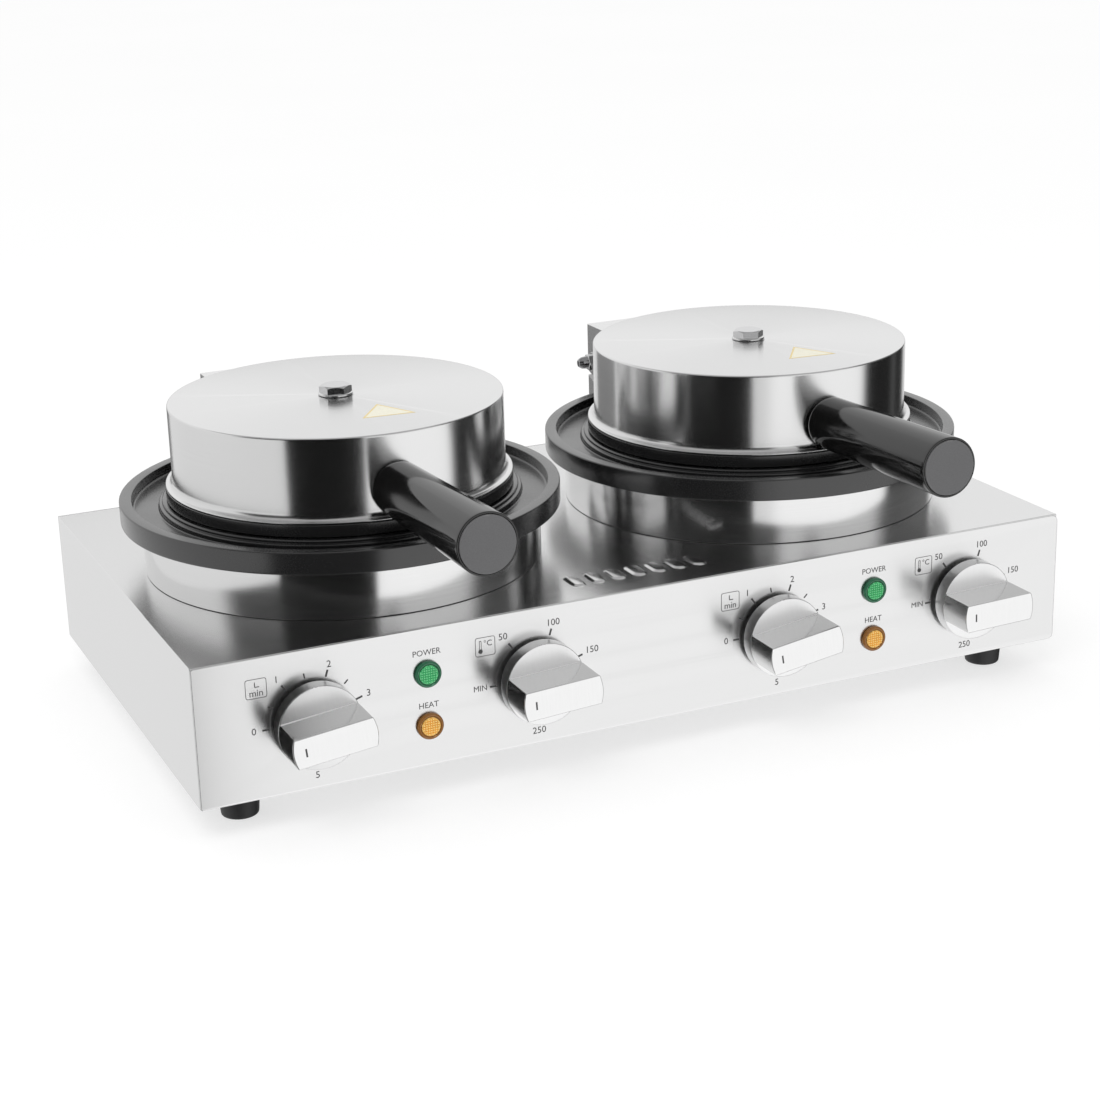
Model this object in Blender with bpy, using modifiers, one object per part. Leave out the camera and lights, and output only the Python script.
"""Double waffle cone maker: two round clamshell irons on one shared housing.

Each iron has a lower baking plate with an overflow channel on a steel drum, and a hinged lid that carries
the upper plate and the handle. A timer, a thermostat and two lamps for each iron sit on the front panel.

Units are metres. +X runs to the operator's right, +Y to the rear, +Z up. The origin is under the middle of
the whole object, on the surface that the feet stand on.
"""

import math

import bmesh
import bpy
from mathutils import Vector

# ---------------------------------------------------------------- driving dimensions

GAP = 0.0003  # air between neighbouring pieces
HOLE_GAP = 0.0004  # air round a neck in its panel hole
EDGE = 0.0006  # broken edge on castings and caps
SHEET = 0.0012  # housing and shell sheet

FOOT_HEIGHT = 0.020
FOOT_TOP_R = 0.012
FOOT_BOTTOM_R = 0.0107
FOOT_INSET_X = 0.030
FOOT_INSET_Y = 0.032

HOUSING_W = 0.550
HOUSING_D = 0.305
HOUSING_H = 0.081

UNIT_X = 0.138  # iron centre, each side of the middle
UNIT_Y = 0.1442  # iron centre, behind the front face

DRUM_R = 0.1179
DRUM_H = 0.0306
DRUM_FLANGE = 0.010

TRAY_R = 0.1302
TRAY_H = 0.0130
RIM_INNER_R = 0.1230
CHANNEL_FLOOR = 0.0064  # channel floor above the tray's underside
DISC_R = 0.1073
DISC_TOP = 0.0118  # baking face above the tray's underside
BAKING_GAP = 0.0008  # between the two plates when shut

UPPER_PLATE_R = 0.1026
UPPER_PLATE_H = 0.0070
UPPER_BOSS_R = 0.0940
UPPER_BOSS_H = 0.0048
BOLT_FLOOR = 0.0040  # metal left under the blind bolt hole
LUG_W = 0.018  # lug that the handle's stud screws into
LUG_FRONT = 0.090
LUG_REAR = 0.076
LUG_ABOVE_STUD = 0.008

LID_R = 0.0984
LID_H = 0.0479
LID_EDGE_R = 0.0030
FLARE_R = 0.1029
FLARE_H = 0.0050
LID_GAP = 0.0004  # between the lid's mouth and the upper plate

BOLT_FLANGE_R = 0.0098
BOLT_FLANGE_H = 0.0015
BOLT_HEX_R = 0.0092
BOLT_HEAD_H = 0.0055

HANDLE_TILT = math.radians(1.8)
HANDLE_ABOVE_DECK = 0.0670
HANDLE_START = 0.0010
HANDLE_ROUND = 0.0050  # rounding of the end at the lid
HANDLE_LENGTH = 0.1288
HANDLE_BASE_R = 0.0158
HANDLE_END_R = 0.01715
CAP_R = 0.0156
CAP_T = 0.0028
CAP_SET_BACK = 0.0009  # the handle's rim behind the cap's face
STUD_R = 0.0040
STUD_DEPTH = 0.058
STUD_INSIDE = 0.021

HINGE_Y = 0.152  # hinge axis behind the iron's centre
HINGE_ABOVE_DECK = 0.056
HINGE_BOX_W = 0.074
HINGE_BOX_REAR = 0.161
HINGE_BOX_TOP = 0.081  # above the deck
HINGE_SHEET = 0.0015
HINGE_BOX_FRONT = 0.086
HINGE_BOX_BELOW_PIN = 0.0105
HINGE_LIP_ABOVE_PIN = 0.010
HINGE_LID_GAP = 0.0008  # between the hinge box and the lid it is welded to
HINGE_PIN_R = 0.003
HINGE_NUT_OUT = 0.012
BRACKET_FRONT = 0.133
BRACKET_REAR = 0.1604
BRACKET_BELOW_PIN = 0.014
EAR_OFFSET = 0.0215
EAR_T = 0.003
EAR_R = 0.006

ELEMENT_RING_R = 0.068
ELEMENT_R = 0.004
PAD_H = 0.0137
DECK_HOLE_R = 0.045

GROUP_X = 0.143  # middle of each iron's group of controls
KNOB_DX = 0.066
KNOB_UP = 0.0395  # above the housing's lower edge
KNOB_R = 0.024
KNOB_BACK = 0.003
KNOB_DISC_FRONT = 0.0115
KNOB_FRONT = 0.0355
KNOB_BAR_W = 0.017
KNOB_BORE = 0.022
TIMER_R = 0.019
THERMOSTAT_HALF = 0.017
CONTROL_DEPTH = 0.032
SHAFT_R = 0.003
NECK_R = 0.005
NECK_OUT = 0.0022
KNOB_SETTINGS = {
    "timer_left": math.radians(6.5),
    "thermostat_left": math.radians(3.5),
    "timer_right": math.radians(8.2),
    "thermostat_right": math.radians(1.6),
}

LAMP_R = 0.00775
LAMP_BODY_R = 0.006
POWER_LAMP_UP = 0.0545
HEAT_LAMP_UP = 0.0238

GLAND_X = 0.205
GLAND_UP = 0.028
GLAND_OUT = 0.016
GLAND_HEX_R = 0.011
GLAND_NECK_R = 0.0082
GLAND_BORE_R = 0.0046

BIG_ROUND = 48  # sides of the large turned pieces
SMALL_ROUND = 24
TINY_ROUND = 16

# ---------------------------------------------------------------- heights and depths that follow

DECK_Z = FOOT_HEIGHT + HOUSING_H
TRAY_Z = DECK_Z + DRUM_H
BAKING_Z = TRAY_Z + DISC_TOP
UPPER_Z = BAKING_Z + BAKING_GAP
UPPER_TOP_Z = UPPER_Z + UPPER_PLATE_H
BOSS_TOP_Z = UPPER_TOP_Z + UPPER_BOSS_H
LID_Z = UPPER_TOP_Z + LID_GAP
LID_TOP_Z = LID_Z + LID_H
HINGE_Z = DECK_Z + HINGE_ABOVE_DECK
HANDLE_Z = DECK_Z + HANDLE_ABOVE_DECK
KNOB_Z = FOOT_HEIGHT + KNOB_UP

# The handles' end caps reach furthest forward and the cable gland furthest back.
HANDLE_REACH = HANDLE_LENGTH * math.cos(HANDLE_TILT) + (CAP_R - EDGE) * math.sin(HANDLE_TILT)
FRONT_REACH = LID_R + HANDLE_REACH - UNIT_Y
FRONT_Y = (FRONT_REACH - HOUSING_D - GLAND_OUT) / 2
REAR_Y = FRONT_Y + HOUSING_D
UNIT_CENTRE_Y = FRONT_Y + UNIT_Y

SIDES = {"left": -1, "right": 1}


# ---------------------------------------------------------------- scene and helpers


def clear_scene():
    for obj in list(bpy.data.objects):
        bpy.data.objects.remove(obj, do_unlink=True)


def new_collection(name, hidden=False):
    collection = bpy.data.collections.new(name)
    bpy.context.scene.collection.children.link(collection)
    collection.hide_render = hidden
    return collection


def make_material(name, colour, roughness, metallic=0.0):
    material = bpy.data.materials.new(name)
    material.use_nodes = True
    shader = material.node_tree.nodes["Principled BSDF"]
    shader.inputs["Base Color"].default_value = (*colour, 1.0)
    shader.inputs["Roughness"].default_value = roughness
    shader.inputs["Metallic"].default_value = metallic
    return material


def add_empty(name, location, rotation=(0, 0, 0)):
    """A frame that pieces hang from; a moving piece's frame sits on its joint's axis."""
    empty = bpy.data.objects.new(name, None)
    empty.empty_display_size = 0.02
    empty.location = location
    empty.rotation_euler = rotation
    assembly.objects.link(empty)
    return empty


def add_object(name, data, parent=None, location=(0, 0, 0), rotation=(0, 0, 0)):
    obj = bpy.data.objects.new(name, data)
    obj.parent = parent
    obj.location = location
    obj.rotation_euler = rotation
    assembly.objects.link(obj)
    return obj


def mesh_from(name, build):
    mesh = bpy.data.meshes.new(name)
    shape = bmesh.new()
    build(shape)
    shape.to_mesh(mesh)
    shape.free()
    return mesh


def box(name, low, high, **place):
    """A block between two corners of its parent's frame."""
    low, high = Vector(low), Vector(high)

    def build(shape):
        bmesh.ops.create_cube(shape, size=1)
        bmesh.ops.scale(shape, vec=high - low, verts=shape.verts)
        bmesh.ops.translate(shape, vec=(low + high) / 2, verts=shape.verts)

    return add_object(name, mesh_from(name, build), **place)


def boxes(name, corners, **place):
    """Several separate blocks in one mesh, for cutting."""

    def build(shape):
        for low, high in corners:
            low, high = Vector(low), Vector(high)
            made = bmesh.ops.create_cube(shape, size=1)["verts"]
            bmesh.ops.scale(shape, vec=high - low, verts=made)
            bmesh.ops.translate(shape, vec=(low + high) / 2, verts=made)

    return add_object(name, mesh_from(name, build), **place)


def rod(name, radius, low, high, sides=SMALL_ROUND, **place):
    """A cylinder about its own Z axis, from low to high."""

    def build(shape):
        bmesh.ops.create_cone(
            shape, cap_ends=True, segments=sides, radius1=radius, radius2=radius, depth=high - low
        )
        bmesh.ops.translate(shape, vec=(0, 0, (low + high) / 2), verts=shape.verts)

    return add_object(name, mesh_from(name, build), **place)


def turned(name, profile, sides, **place):
    """A profile of (radius, height) turned about Z. It runs down the outer side, and either starts and ends
    on the axis or closes on itself as a ring."""
    ring = profile[0][0] > 0
    count = len(profile)
    edges = [(i, (i + 1) % count) for i in range(count if ring else count - 1)]
    mesh = bpy.data.meshes.new(name)
    mesh.from_pydata([(radius, 0, height) for radius, height in profile], edges, [])
    obj = add_object(name, mesh, **place)
    screw = obj.modifiers.new("turn", "SCREW")
    screw.steps = screw.render_steps = sides
    screw.use_merge_vertices = True
    screw.merge_threshold = 0.00001
    return obj


def arc(centre, radius, start, end, steps):
    """Points on a circle, from one angle to another in degrees."""
    angles = [math.radians(start + (end - start) * i / steps) for i in range(steps + 1)]
    return [(centre[0] + radius * math.cos(a), centre[1] + radius * math.sin(a)) for a in angles]


def slab(name, outline, thickness, **place):
    """A flat closed outline with thickness, centred on its own XY plane, as a mesh."""
    curve = bpy.data.curves.new(name, "CURVE")
    curve.dimensions = "2D"
    curve.fill_mode = "BOTH"
    curve.extrude = thickness / 2
    spline = curve.splines.new("POLY")
    spline.points.add(len(outline) - 1)
    for point, (x, y) in zip(spline.points, outline):
        point.co = (x, y, 0, 1)
    spline.use_cyclic_u = True
    source = bpy.data.objects.new(name + "_outline", curve)
    mesh = bpy.data.meshes.new_from_object(source)
    bpy.data.objects.remove(source)
    shape = bmesh.new()
    shape.from_mesh(mesh)
    bmesh.ops.remove_doubles(shape, verts=shape.verts, dist=0.000001)
    shape.to_mesh(mesh)
    shape.free()
    mesh.name = name
    return add_object(name, mesh, **place)


def tube(name, points, radius, **place):
    """A round tube through the points, each of which may carry its own share of the radius."""
    curve = bpy.data.curves.new(name, "CURVE")
    curve.dimensions = "3D"
    curve.bevel_depth = radius
    curve.bevel_resolution = 1
    curve.use_fill_caps = True
    spline = curve.splines.new("POLY")
    spline.points.add(len(points) - 1)
    for point, (x, y, z, share) in zip(spline.points, points):
        point.co = (x, y, z, 1)
        point.radius = share
    return add_object(name, curve, **place)


def combine(obj, tool, operation="DIFFERENCE"):
    """Cuts the tool from the piece, or joins it on. The tool itself is a hidden helper."""
    assembly.objects.unlink(tool)
    cutters.objects.link(tool)
    tool.hide_render = True
    tool.display_type = "WIRE"
    boolean = obj.modifiers.new(tool.name, "BOOLEAN")
    boolean.operation = operation
    boolean.solver = "EXACT"
    boolean.object = tool
    return obj


def finish(obj, material):
    obj.data.materials.clear()
    obj.data.materials.append(materials[material])
    return obj


def settle(obj):
    """Turns the modifiers' result into the piece's own mesh and shades its round faces smooth."""
    graph = bpy.context.evaluated_depsgraph_get()
    mesh = bpy.data.meshes.new_from_object(obj.evaluated_get(graph))
    mesh.name = obj.name
    obj.modifiers.clear()
    obj.data = mesh
    mesh.shade_smooth()
    mesh.set_sharp_from_angle(angle=math.radians(30))


# ---------------------------------------------------------------- housing


def vent_slots(name, centre, along, across, run):
    """Two rows of six slots, cut as blocks. The vectors give each slot's half size and the row's step."""
    corners = []
    for side in SIDES.values():
        for i in range(6):
            middle = Vector(centre) + Vector((side * UNIT_X, 0, 0)) + Vector(run) * (i - 2.5)
            half = Vector(along) + Vector(across)
            corners.append((middle - half, middle + half))
    return boxes(name, corners)


def build_casing():
    """One folded sheet: the deck and both end walls."""
    half = HOUSING_W / 2
    front = FRONT_Y + SHEET + GAP
    rear = REAR_Y - SHEET - GAP
    casing = box("casing", (-half, front, FOOT_HEIGHT), (half, rear, DECK_Z))
    inner = half - SHEET
    room = box("casing_room", (-inner, front - 0.01, 0), (inner, rear + 0.01, DECK_Z - SHEET))
    combine(casing, room)
    for side, sign in SIDES.items():
        hole = rod("deck_hole_" + side, DECK_HOLE_R, DECK_Z - 0.01, DECK_Z + 0.01, BIG_ROUND)
        hole.location = (sign * UNIT_X, UNIT_CENTRE_Y, 0)
        combine(casing, hole)
    finish(casing, "brushed_steel")


def control_places():
    """Yields every control's name, x and height above the housing's lower edge."""
    for side, sign in SIDES.items():
        yield "timer_" + side, sign * GROUP_X - KNOB_DX, KNOB_UP
        yield "thermostat_" + side, sign * GROUP_X + KNOB_DX, KNOB_UP
        yield "power_lamp_" + side, sign * GROUP_X, POWER_LAMP_UP
        yield "heat_lamp_" + side, sign * GROUP_X, HEAT_LAMP_UP


def build_front_panel():
    half = HOUSING_W / 2
    panel = box("front_panel", (-half, FRONT_Y, FOOT_HEIGHT), (half, FRONT_Y + SHEET, DECK_Z))
    for name, x, up in control_places():
        radius = LAMP_BODY_R if "lamp" in name else NECK_R
        hole = rod(name + "_hole", radius + HOLE_GAP, -0.01, 0.01, TINY_ROUND)
        hole.location = (x, FRONT_Y, FOOT_HEIGHT + up)
        hole.rotation_euler = (math.radians(90), 0, 0)
        combine(panel, hole)
    finish(panel, "brushed_steel")


def build_rear_panel():
    half = HOUSING_W / 2
    panel = box("rear_panel", (-half, REAR_Y - SHEET, FOOT_HEIGHT), (half, REAR_Y, DECK_Z))
    slots = vent_slots(
        "rear_vents",
        (0, REAR_Y, FOOT_HEIGHT + 0.048),
        along=(0, 0, 0.012),
        across=(0.0016, 0.01, 0),
        run=(0.010, 0, 0),
    )
    combine(panel, slots)
    hole = rod("gland_hole", GLAND_NECK_R + HOLE_GAP, -0.01, 0.01)
    hole.location = (GLAND_X, REAR_Y, FOOT_HEIGHT + GLAND_UP)
    hole.rotation_euler = (math.radians(90), 0, 0)
    combine(panel, hole)
    finish(panel, "brushed_steel")


def build_base_plate():
    half = HOUSING_W / 2 - SHEET - HOLE_GAP
    front = FRONT_Y + SHEET + HOLE_GAP
    rear = REAR_Y - SHEET - HOLE_GAP
    plate = box("base_plate", (-half, front, FOOT_HEIGHT), (half, rear, FOOT_HEIGHT + SHEET))
    slots = vent_slots(
        "base_vents",
        (0, UNIT_CENTRE_Y, FOOT_HEIGHT),
        along=(0.020, 0, 0.01),
        across=(0, 0.0016, 0),
        run=(0, 0.012, 0),
    )
    combine(plate, slots)
    finish(plate, "plain_steel")


def build_feet():
    top = FOOT_HEIGHT - GAP
    profile = [
        (0, top),
        (FOOT_TOP_R, top),
        (FOOT_BOTTOM_R, 0.0016),
        (FOOT_BOTTOM_R - 0.0012, 0),
        (0, 0),
    ]
    for side, sign in SIDES.items():
        for end, y in (("front", FRONT_Y + FOOT_INSET_Y), ("rear", REAR_Y - FOOT_INSET_Y)):
            x = sign * (HOUSING_W / 2 - FOOT_INSET_X)
            foot = turned(f"foot_{end}_{side}", profile, SMALL_ROUND, location=(x, y, 0))
            finish(foot, "rubber")


def build_mains_inlet():
    """The gland that a supply cord would enter by, and the block that it would be wired to."""
    z = FOOT_HEIGHT + GLAND_UP
    nut_front = -SHEET - GAP
    profile = [
        (GLAND_BORE_R + 0.0022, GLAND_OUT),
        (GLAND_HEX_R - 0.0022, GLAND_OUT - 0.003),
        (GLAND_HEX_R - 0.0016, 0.0066),
        (GLAND_HEX_R, 0.006),
        (GLAND_HEX_R, GAP),
        (GLAND_NECK_R, GAP),
        (GLAND_NECK_R, nut_front),
        (GLAND_HEX_R, nut_front),
        (GLAND_HEX_R, nut_front - 0.0055),
        (GLAND_BORE_R, nut_front - 0.0055),
        (GLAND_BORE_R, GLAND_OUT),
    ]
    gland = turned("cable_gland", profile, TINY_ROUND)
    gland.location = (GLAND_X, REAR_Y, z)
    gland.rotation_euler = (math.radians(-90), 0, 0)
    finish(gland, "black_plastic")
    floor = FOOT_HEIGHT + SHEET + GAP
    low = (GLAND_X - 0.022, REAR_Y - 0.045, floor)
    high = (GLAND_X + 0.022, REAR_Y - 0.027, floor + 0.020)
    finish(box("terminal_block", low, high), "white_ceramic")


# ---------------------------------------------------------------- the lower half of each iron


def build_drum(side, frame):
    bottom = DECK_Z + GAP
    top = TRAY_Z - GAP
    profile = [
        (DRUM_R, top),
        (DRUM_R, bottom),
        (DRUM_R - DRUM_FLANGE, bottom),
        (DRUM_R - DRUM_FLANGE, bottom + SHEET),
        (DRUM_R - SHEET, bottom + SHEET),
        (DRUM_R - SHEET, top),
    ]
    finish(turned("drum_" + side, profile, BIG_ROUND, parent=frame), "polished_steel")


def build_lower_plate(side, frame):
    """One casting: the raised baking disc, the overflow channel round it, and the outer rim."""
    floor = TRAY_Z + CHANNEL_FLOOR
    rim = TRAY_Z + TRAY_H
    profile = [
        (0, BAKING_Z),
        (DISC_R - 0.0030, BAKING_Z),
        (DISC_R - 0.0021, BAKING_Z - 0.0006),
        (DISC_R - 0.0020, BAKING_Z - 0.0019),
        (DISC_R - 0.0004, BAKING_Z - 0.0022),
        (DISC_R, BAKING_Z - 0.0028),
        (DISC_R, floor),
        (RIM_INNER_R - 0.0007, floor),
        (RIM_INNER_R, floor + 0.0008),
        (RIM_INNER_R, rim - 0.0004),
        (RIM_INNER_R + 0.0004, rim),
        (TRAY_R - EDGE, rim),
        (TRAY_R, rim - EDGE),
        (TRAY_R, TRAY_Z + EDGE),
        (TRAY_R - EDGE, TRAY_Z),
        (0, TRAY_Z),
    ]
    finish(turned("lower_plate_" + side, profile, BIG_ROUND, parent=frame), "nonstick_black")


def element_path(z, tail_turn, tail_end_z):
    """A nearly closed ring of heater tube, open at the rear, with both ends led inwards and away."""
    points = []
    for i in range(23):
        angle = math.radians(-250 + 320 * i / 22)
        points.append((ELEMENT_RING_R * math.cos(angle), ELEMENT_RING_R * math.sin(angle), z))
    start = [(-0.010, tail_turn, tail_end_z), (-0.010, tail_turn, z), (-0.014, tail_turn + 0.010, z)]
    end = [(-x, y, height) for x, y, height in reversed(start)]
    return [(x, y, height, 1.0) for x, y, height in start + points + end]


def build_lower_heat(side, frame):
    z = TRAY_Z - 0.0005 - ELEMENT_R
    path = element_path(z, 0.036, DECK_Z - 0.015)
    finish(tube("lower_element_" + side, path, ELEMENT_R, parent=frame), "heater_tube")

    low = DECK_Z + 2 * GAP + SHEET
    inner = DECK_HOLE_R + 0.002
    outer = DRUM_R - SHEET - 0.0018
    profile = [(outer, low + PAD_H), (outer, low), (inner, low), (inner, low + PAD_H)]
    pad = turned("insulation_pad_" + side, profile, BIG_ROUND, parent=frame)
    finish(pad, "white_ceramic")

    bulb_z = TRAY_Z - 0.0034
    knob_x = SIDES[side] * (GROUP_X - UNIT_X) + KNOB_DX
    thermostat_rear = FRONT_Y + 0.033 - UNIT_CENTRE_Y
    bulb, capillary = 1.0, 0.4
    path = [
        (-0.030, 0.020, bulb_z, bulb),
        (0.024, 0.020, bulb_z, bulb),
        (0.026, 0.020, bulb_z, capillary),
        (0.033, 0.016, bulb_z - 0.002, capillary),
        (0.036, 0.008, bulb_z - 0.010, capillary),
        (0.034, 0.000, DECK_Z - 0.002, capillary),
        (0.034, -0.008, DECK_Z - 0.020, capillary),
        (0.042, -0.030, KNOB_Z + 0.006, capillary),
        (0.056, -0.066, KNOB_Z + 0.001, capillary),
        (knob_x, -0.092, KNOB_Z, capillary),
        (knob_x, thermostat_rear, KNOB_Z, capillary),
    ]
    finish(tube("thermostat_bulb_" + side, path, 0.0028, parent=frame), "copper")


def build_hinge_bracket(side, frame):
    """A folded pedestal on the deck, with two ears that reach up inside the lid's hinge box."""
    half = HINGE_BOX_W / 2
    bottom = DECK_Z + GAP
    top = HINGE_Z - BRACKET_BELOW_PIN
    outline = [
        (BRACKET_FRONT, bottom),
        (BRACKET_REAR, bottom),
        (BRACKET_REAR, top + 0.003),
        (HINGE_Y + 0.002, top),
        (BRACKET_FRONT, top),
    ]
    upright = (math.radians(90), 0, math.radians(90))
    bracket = slab("hinge_bracket_" + side, outline, HINGE_BOX_W, parent=frame, rotation=upright)
    inner_low = (BRACKET_FRONT + HINGE_SHEET, bottom - 0.01, HINGE_SHEET - half)
    inner_high = (BRACKET_REAR - HINGE_SHEET, top - 0.002, half - HINGE_SHEET)
    room = box("bracket_room_" + side, inner_low, inner_high, parent=frame, rotation=upright)
    combine(bracket, room)
    ear = [(HINGE_Y + EAR_R, top - 0.001)]
    ear += arc((HINGE_Y, HINGE_Z), EAR_R, 0, 180, 8)
    ear += [(HINGE_Y - EAR_R, top - 0.001)]
    for end, x in (("a", -EAR_OFFSET), ("b", EAR_OFFSET)):
        name = f"bracket_ear_{end}_{side}"
        plate = slab(name, ear, EAR_T, parent=frame, rotation=upright, location=(x, 0, 0))
        combine(bracket, plate, "UNION")
    combine(bracket, pin_hole("bracket_pin_hole_" + side, frame, (0, HINGE_Y, HINGE_Z)))
    finish(bracket, "brushed_steel")


def pin_hole(name, parent, location):
    hole = rod(name, HINGE_PIN_R + GAP, -0.05, 0.05, TINY_ROUND, parent=parent)
    hole.location = location
    hole.rotation_euler = (0, math.radians(90), 0)
    return hole


# ---------------------------------------------------------------- the lid of each iron
# Lid pieces hang from an empty on the hinge axis, so their shapes are moved back by its place.

LID_PLACE = (0, -HINGE_Y, -HINGE_Z)
HANDLE_PLACE = (0, -HINGE_Y - LID_R, HANDLE_Z - HINGE_Z)
HANDLE_TURN = (math.radians(90) - HANDLE_TILT, 0, 0)


def build_lid_shell(side, hinge):
    """A spun steel cap with a rounded top edge and a small flare at its mouth."""
    inner = LID_R - SHEET
    under_top = LID_TOP_Z - SHEET
    bolt_hole = STUD_R + GAP
    profile = [(bolt_hole, LID_TOP_Z)]
    profile += arc((LID_R - LID_EDGE_R, LID_TOP_Z - LID_EDGE_R), LID_EDGE_R, 90, 0, 3)
    profile += [
        (LID_R, LID_Z + FLARE_H),
        (LID_R + 0.0012, LID_Z + 0.0018),
        (FLARE_R, LID_Z),
        (FLARE_R - SHEET, LID_Z),
        (inner, LID_Z + FLARE_H),
        (inner, under_top - LID_EDGE_R / 2),
        (inner - LID_EDGE_R / 2, under_top),
        (bolt_hole, under_top),
    ]
    shell = turned("lid_shell_" + side, profile, BIG_ROUND, parent=hinge, location=LID_PLACE)
    hole = rod("stud_hole_" + side, STUD_R + 0.0005, -0.01, 0.01, TINY_ROUND, parent=hinge)
    hole.location = HANDLE_PLACE
    hole.rotation_euler = HANDLE_TURN
    combine(shell, hole)
    finish(shell, "brushed_steel")


def build_upper_plate(side, hinge):
    """The upper casting, with a lug at the front that the handle's stud screws into."""
    # The baking face is whole, so the bolt hole is blind and the profile starts at its floor.
    bolt_hole = STUD_R + GAP
    profile = [
        (0, UPPER_Z + BOLT_FLOOR),
        (bolt_hole, UPPER_Z + BOLT_FLOOR),
        (bolt_hole, BOSS_TOP_Z),
        (UPPER_BOSS_R, BOSS_TOP_Z),
        (UPPER_BOSS_R, UPPER_TOP_Z),
        (UPPER_PLATE_R, UPPER_TOP_Z),
        (UPPER_PLATE_R, UPPER_Z + EDGE),
        (UPPER_PLATE_R - EDGE, UPPER_Z),
        (0, UPPER_Z),
    ]
    plate = turned("upper_plate_" + side, profile, BIG_ROUND, parent=hinge, location=LID_PLACE)
    low = (-LUG_W / 2, -LUG_FRONT, BOSS_TOP_Z - 0.001)
    high = (LUG_W / 2, -LUG_REAR, HANDLE_Z + LUG_ABOVE_STUD)
    lug = box("stud_lug_" + side, low, high, parent=hinge, location=LID_PLACE)
    combine(plate, lug, "UNION")
    hole = rod("lug_hole_" + side, STUD_R + GAP, -0.03, 0, TINY_ROUND, parent=hinge)
    hole.location = HANDLE_PLACE
    hole.rotation_euler = HANDLE_TURN
    combine(plate, hole)
    finish(plate, "nonstick_black")


def build_upper_element(side, hinge):
    z = BOSS_TOP_Z + 0.0005 + ELEMENT_R
    path = element_path(z, 0.044, z + 0.014)
    element = tube("upper_element_" + side, path, ELEMENT_R, parent=hinge, location=LID_PLACE)
    finish(element, "heater_tube")


def build_lid_bolt(side, hinge):
    """A flanged hex bolt through the lid's middle into the upper plate."""
    seat = LID_TOP_Z + GAP
    flange_top = seat + BOLT_FLANGE_H
    tip = UPPER_Z + BOLT_FLOOR + 0.0005
    profile = [
        (0, flange_top),
        (BOLT_FLANGE_R - 0.0004, flange_top),
        (BOLT_FLANGE_R, flange_top - EDGE),
        (BOLT_FLANGE_R, seat),
        (STUD_R, seat),
        (STUD_R, tip),
        (0, tip),
    ]
    bolt = turned("lid_bolt_" + side, profile, SMALL_ROUND, parent=hinge, location=LID_PLACE)
    top = seat + BOLT_HEAD_H
    head = rod("lid_bolt_head_" + side, BOLT_HEX_R, seat + 0.001, top, 6, parent=hinge)
    head.location = LID_PLACE
    combine(bolt, head, "UNION")
    finish(bolt, "polished_steel")


def build_handle(side, hinge):
    """A tapered grip along the lid's front, its end cap in a recess, and the stud that holds it."""
    place = {"parent": hinge, "location": HANDLE_PLACE, "rotation": HANDLE_TURN}
    end = HANDLE_LENGTH - CAP_SET_BACK
    recess = HANDLE_LENGTH - CAP_T - GAP
    bore = STUD_R + GAP
    profile = [
        (0, recess),
        (CAP_R + GAP, recess),
        (CAP_R + GAP, end),
        (HANDLE_END_R - EDGE, end),
        (HANDLE_END_R, end - 0.0007),
        (HANDLE_BASE_R, HANDLE_START + HANDLE_ROUND),
        (HANDLE_BASE_R - 0.0012, HANDLE_START + HANDLE_ROUND * 0.45),
        (HANDLE_BASE_R - HANDLE_ROUND, HANDLE_START),
        (bore, HANDLE_START),
        (bore, STUD_DEPTH + 0.001),
        (0, STUD_DEPTH + 0.001),
    ]
    finish(turned("handle_" + side, profile, 32, **place), "black_bakelite")
    profile = [
        (0, HANDLE_LENGTH),
        (CAP_R - EDGE, HANDLE_LENGTH),
        (CAP_R, HANDLE_LENGTH - EDGE),
        (CAP_R, HANDLE_LENGTH - CAP_T),
        (0, HANDLE_LENGTH - CAP_T),
    ]
    finish(turned("handle_cap_" + side, profile, 32, **place), "cap_grey")
    stud = rod("handle_stud_" + side, STUD_R, -STUD_INSIDE, STUD_DEPTH, TINY_ROUND, **place)
    finish(stud, "plain_steel")


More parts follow.
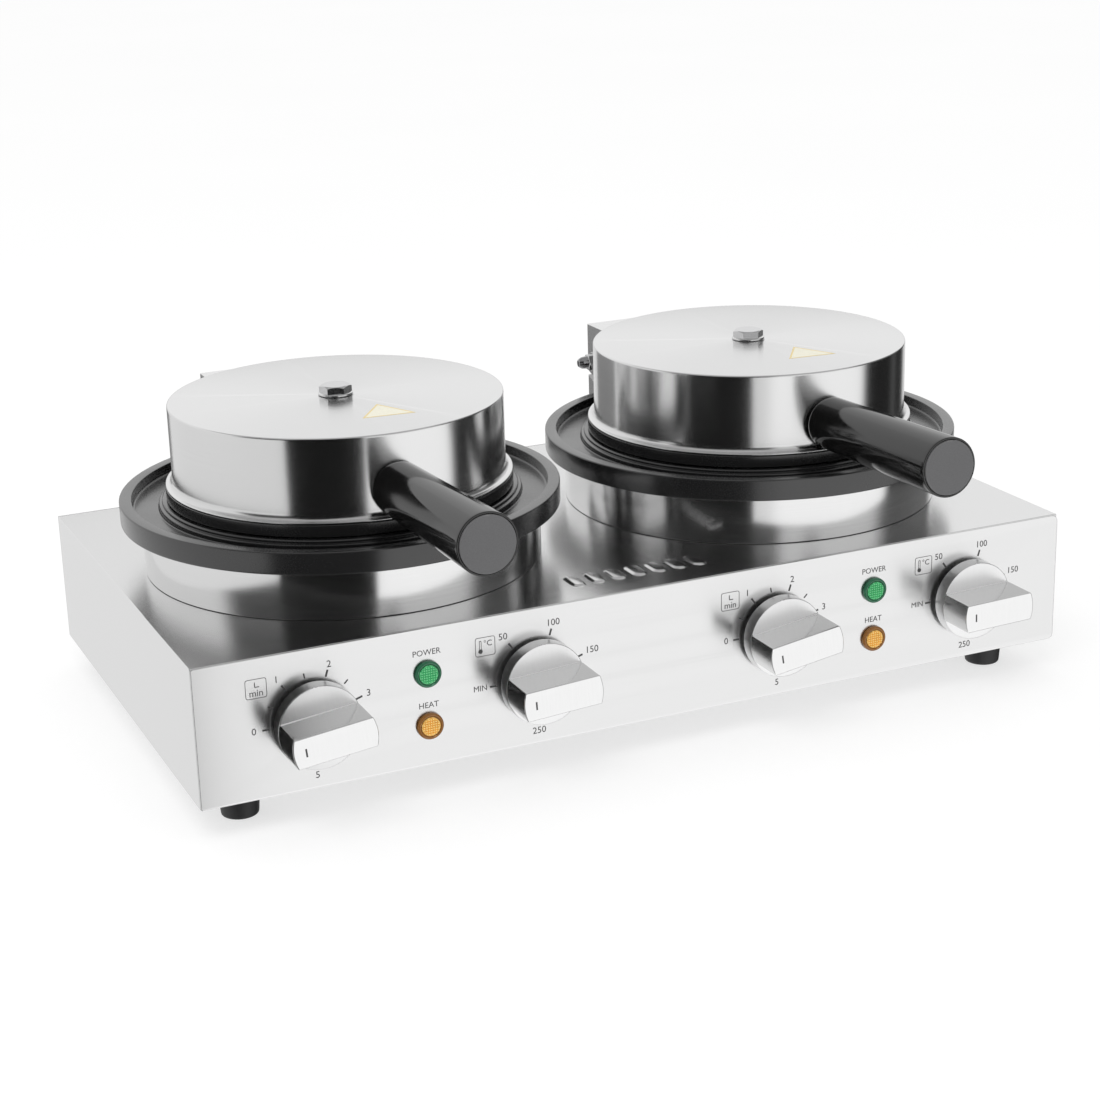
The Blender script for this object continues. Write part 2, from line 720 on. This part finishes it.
def build_hinge_box(side, hinge):
    """A folded steel box behind the lid: a top, two cheeks and a short rear lip, open below."""
    half = HINGE_BOX_W / 2
    top = DECK_Z + HINGE_BOX_TOP
    bottom = HINGE_Z - HINGE_BOX_BELOW_PIN
    outline = [
        (HINGE_BOX_FRONT, bottom),
        (HINGE_Y + 0.002, bottom),
        (HINGE_BOX_REAR, bottom + 0.0025),
        (HINGE_BOX_REAR, top),
        (HINGE_BOX_FRONT, top),
    ]
    place = {
        "parent": hinge,
        "location": LID_PLACE,
        "rotation": (math.radians(90), 0, math.radians(90)),
    }
    shell = slab("hinge_box_" + side, outline, HINGE_BOX_W, **place)
    inner = half - HINGE_SHEET
    lip = HINGE_Z + HINGE_LIP_ABOVE_PIN
    room = box(
        "hinge_box_room_" + side,
        (HINGE_BOX_FRONT - 0.006, HINGE_Z - 0.02, -inner),
        (HINGE_BOX_REAR - HINGE_SHEET, top - HINGE_SHEET, inner),
        **place,
    )
    combine(shell, room)
    mouth = box(
        "hinge_box_mouth_" + side,
        (HINGE_BOX_REAR - 0.004, HINGE_Z - 0.02, -inner),
        (HINGE_BOX_REAR + 0.004, lip, inner),
        **place,
    )
    combine(shell, mouth)
    lid_r = LID_R + HINGE_LID_GAP
    flare_r = FLARE_R + HINGE_LID_GAP
    profile = [
        (0, top + 0.01),
        (lid_r, top + 0.01),
        (lid_r, LID_Z + FLARE_H + 0.001),
        (flare_r, LID_Z + FLARE_H),
        (flare_r, UPPER_Z - 0.01),
        (0, UPPER_Z - 0.01),
    ]
    lid = turned("hinge_box_lid_cut_" + side, profile, BIG_ROUND, parent=hinge, location=LID_PLACE)
    combine(shell, lid)
    combine(shell, pin_hole("hinge_box_pin_hole_" + side, hinge, (0, 0, 0)))
    finish(shell, "brushed_steel")


def build_hinge_bolt(side, hinge):
    """The hinge pin: a bolt with its head on the right cheek and a domed nut on the left one."""
    half = HINGE_BOX_W / 2
    seat = half + GAP
    tip = half + HINGE_NUT_OUT
    place = {"parent": hinge, "rotation": (0, math.radians(90), 0)}
    bolt = rod("hinge_bolt_" + side, HINGE_PIN_R, -half - 0.007, seat + 0.001, TINY_ROUND, **place)
    head = rod("hinge_bolt_head_" + side, 0.0055, seat, seat + 0.004, 6, **place)
    combine(bolt, head, "UNION")
    finish(bolt, "polished_steel")

    bore = HINGE_PIN_R + GAP
    place["rotation"] = (0, math.radians(-90), 0)
    profile = [(0, tip)]
    profile += [(0.0024, tip - 0.0006), (0.0041, tip - 0.0022), (0.0046, tip - 0.0045)]
    profile += [(0.0046, seat + 0.0012), (0.0060, seat + 0.0012), (0.0060, seat)]
    profile += [(bore, seat), (bore, half + 0.0078), (0, half + 0.0078)]
    finish(turned("hinge_nut_" + side, profile, 12, **place), "polished_steel")


# ---------------------------------------------------------------- controls
# Controls hang from a frame on the front face whose Z axis points out at the operator.

FACE_OUT = (math.radians(90), 0, 0)


def build_control_body(name, frame):
    """A round timer or square thermostat behind the panel, with its neck through it and bored for the shaft."""
    room = -SHEET - 0.002
    if name.startswith("timer"):
        body = rod(name, TIMER_R, -CONTROL_DEPTH, room, SMALL_ROUND, parent=frame)
    else:
        half = THERMOSTAT_HALF
        body = box(name, (-half, -half, -CONTROL_DEPTH), (half, half, room), parent=frame)
    neck = rod(name + "_neck", NECK_R, room - 0.002, NECK_OUT, TINY_ROUND, parent=frame)
    combine(body, neck, "UNION")
    bore = rod(name + "_bore", SHAFT_R + HOLE_GAP, -0.029, 0.01, TINY_ROUND, parent=frame)
    combine(body, bore)
    finish(body, "white_plastic")


def build_knob(name, frame, setting):
    """A round skirt with a full-width grip bar, on a shaft that runs back into the control."""
    place = {"parent": frame, "rotation": (0, 0, setting)}
    kind, side = name.split("_")
    knob = rod(f"{kind}_knob_{side}", KNOB_R, KNOB_BACK, KNOB_DISC_FRONT, 32, **place)
    half = KNOB_BAR_W / 2
    swing = math.degrees(math.asin(half / KNOB_R))
    outline = arc((0, 0), KNOB_R, -swing, swing, 5)
    outline += arc((0, 0), KNOB_R, 180 - swing, 180 + swing, 5)
    thickness = KNOB_FRONT - KNOB_BACK - 0.002
    middle = (0, 0, KNOB_FRONT - thickness / 2)
    bar = slab(f"{name}_bar", outline, thickness, location=middle, **place)
    combine(knob, bar, "UNION")
    bore = rod(f"{name}_knob_bore", SHAFT_R + GAP, 0, KNOB_BORE, TINY_ROUND, **place)
    combine(knob, bore)
    finish(knob, "satin_chrome")
    shaft = rod(f"{kind}_shaft_{side}", SHAFT_R, -0.028, KNOB_BORE - 0.001, TINY_ROUND, **place)
    finish(shaft, "plain_steel")


def build_lamp(name, frame):
    profile = [
        (0, 0.0042),
        (0.0052, 0.0040),
        (0.0060, 0.0030),
        (0.0064, 0.0022),
        (LAMP_R - 0.0003, 0.0020),
        (LAMP_R, 0.0016),
        (LAMP_R, GAP),
        (LAMP_BODY_R, GAP),
        (LAMP_BODY_R, -0.022),
        (0, -0.022),
    ]
    lamp = turned(name, profile, TINY_ROUND, parent=frame)
    finish(lamp, "green_lens" if name.startswith("power") else "amber_lens")


def build_controls():
    for name, x, up in control_places():
        frame = add_empty(name + "_axis", (x, FRONT_Y, FOOT_HEIGHT + up), FACE_OUT)
        if "lamp" in name:
            build_lamp(name, frame)
        else:
            build_control_body(name, frame)
            build_knob(name, frame, KNOB_SETTINGS[name])


# ---------------------------------------------------------------- the whole object


def build_iron(side, sign):
    frame = add_empty("iron_" + side, (sign * UNIT_X, UNIT_CENTRE_Y, 0))
    build_drum(side, frame)
    build_lower_plate(side, frame)
    build_lower_heat(side, frame)
    build_hinge_bracket(side, frame)
    hinge = add_empty("hinge_axis_" + side, (sign * UNIT_X, UNIT_CENTRE_Y + HINGE_Y, HINGE_Z))
    build_lid_shell(side, hinge)
    build_upper_plate(side, hinge)
    build_upper_element(side, hinge)
    build_lid_bolt(side, hinge)
    build_handle(side, hinge)
    build_hinge_box(side, hinge)
    build_hinge_bolt(side, hinge)


clear_scene()
assembly = new_collection("waffle_cone_maker")
cutters = new_collection("cutters", hidden=True)
materials = {
    "brushed_steel": make_material("brushed_steel", (0.68, 0.68, 0.69), 0.32, 1.0),
    "polished_steel": make_material("polished_steel", (0.72, 0.72, 0.73), 0.14, 1.0),
    "plain_steel": make_material("plain_steel", (0.55, 0.55, 0.56), 0.45, 1.0),
    "nonstick_black": make_material("nonstick_black", (0.030, 0.030, 0.032), 0.42),
    "black_bakelite": make_material("black_bakelite", (0.012, 0.012, 0.013), 0.16),
    "cap_grey": make_material("cap_grey", (0.16, 0.16, 0.165), 0.45),
    "satin_chrome": make_material("satin_chrome", (0.78, 0.78, 0.79), 0.20, 1.0),
    "rubber": make_material("rubber", (0.020, 0.020, 0.021), 0.70),
    "heater_tube": make_material("heater_tube", (0.30, 0.30, 0.31), 0.40, 1.0),
    "copper": make_material("copper", (0.80, 0.42, 0.26), 0.30, 1.0),
    "white_ceramic": make_material("white_ceramic", (0.82, 0.81, 0.78), 0.75),
    "white_plastic": make_material("white_plastic", (0.80, 0.80, 0.78), 0.50),
    "black_plastic": make_material("black_plastic", (0.025, 0.025, 0.027), 0.50),
    "green_lens": make_material("green_lens", (0.02, 0.42, 0.16), 0.20),
    "amber_lens": make_material("amber_lens", (0.80, 0.38, 0.04), 0.20),
}

build_casing()
build_front_panel()
build_rear_panel()
build_base_plate()
build_feet()
build_mains_inlet()
for unit_side, unit_sign in SIDES.items():
    build_iron(unit_side, unit_sign)
build_controls()

for piece in list(assembly.objects):
    if piece.type == "MESH":
        settle(piece)
for cutter in list(cutters.objects):
    bpy.data.objects.remove(cutter, do_unlink=True)
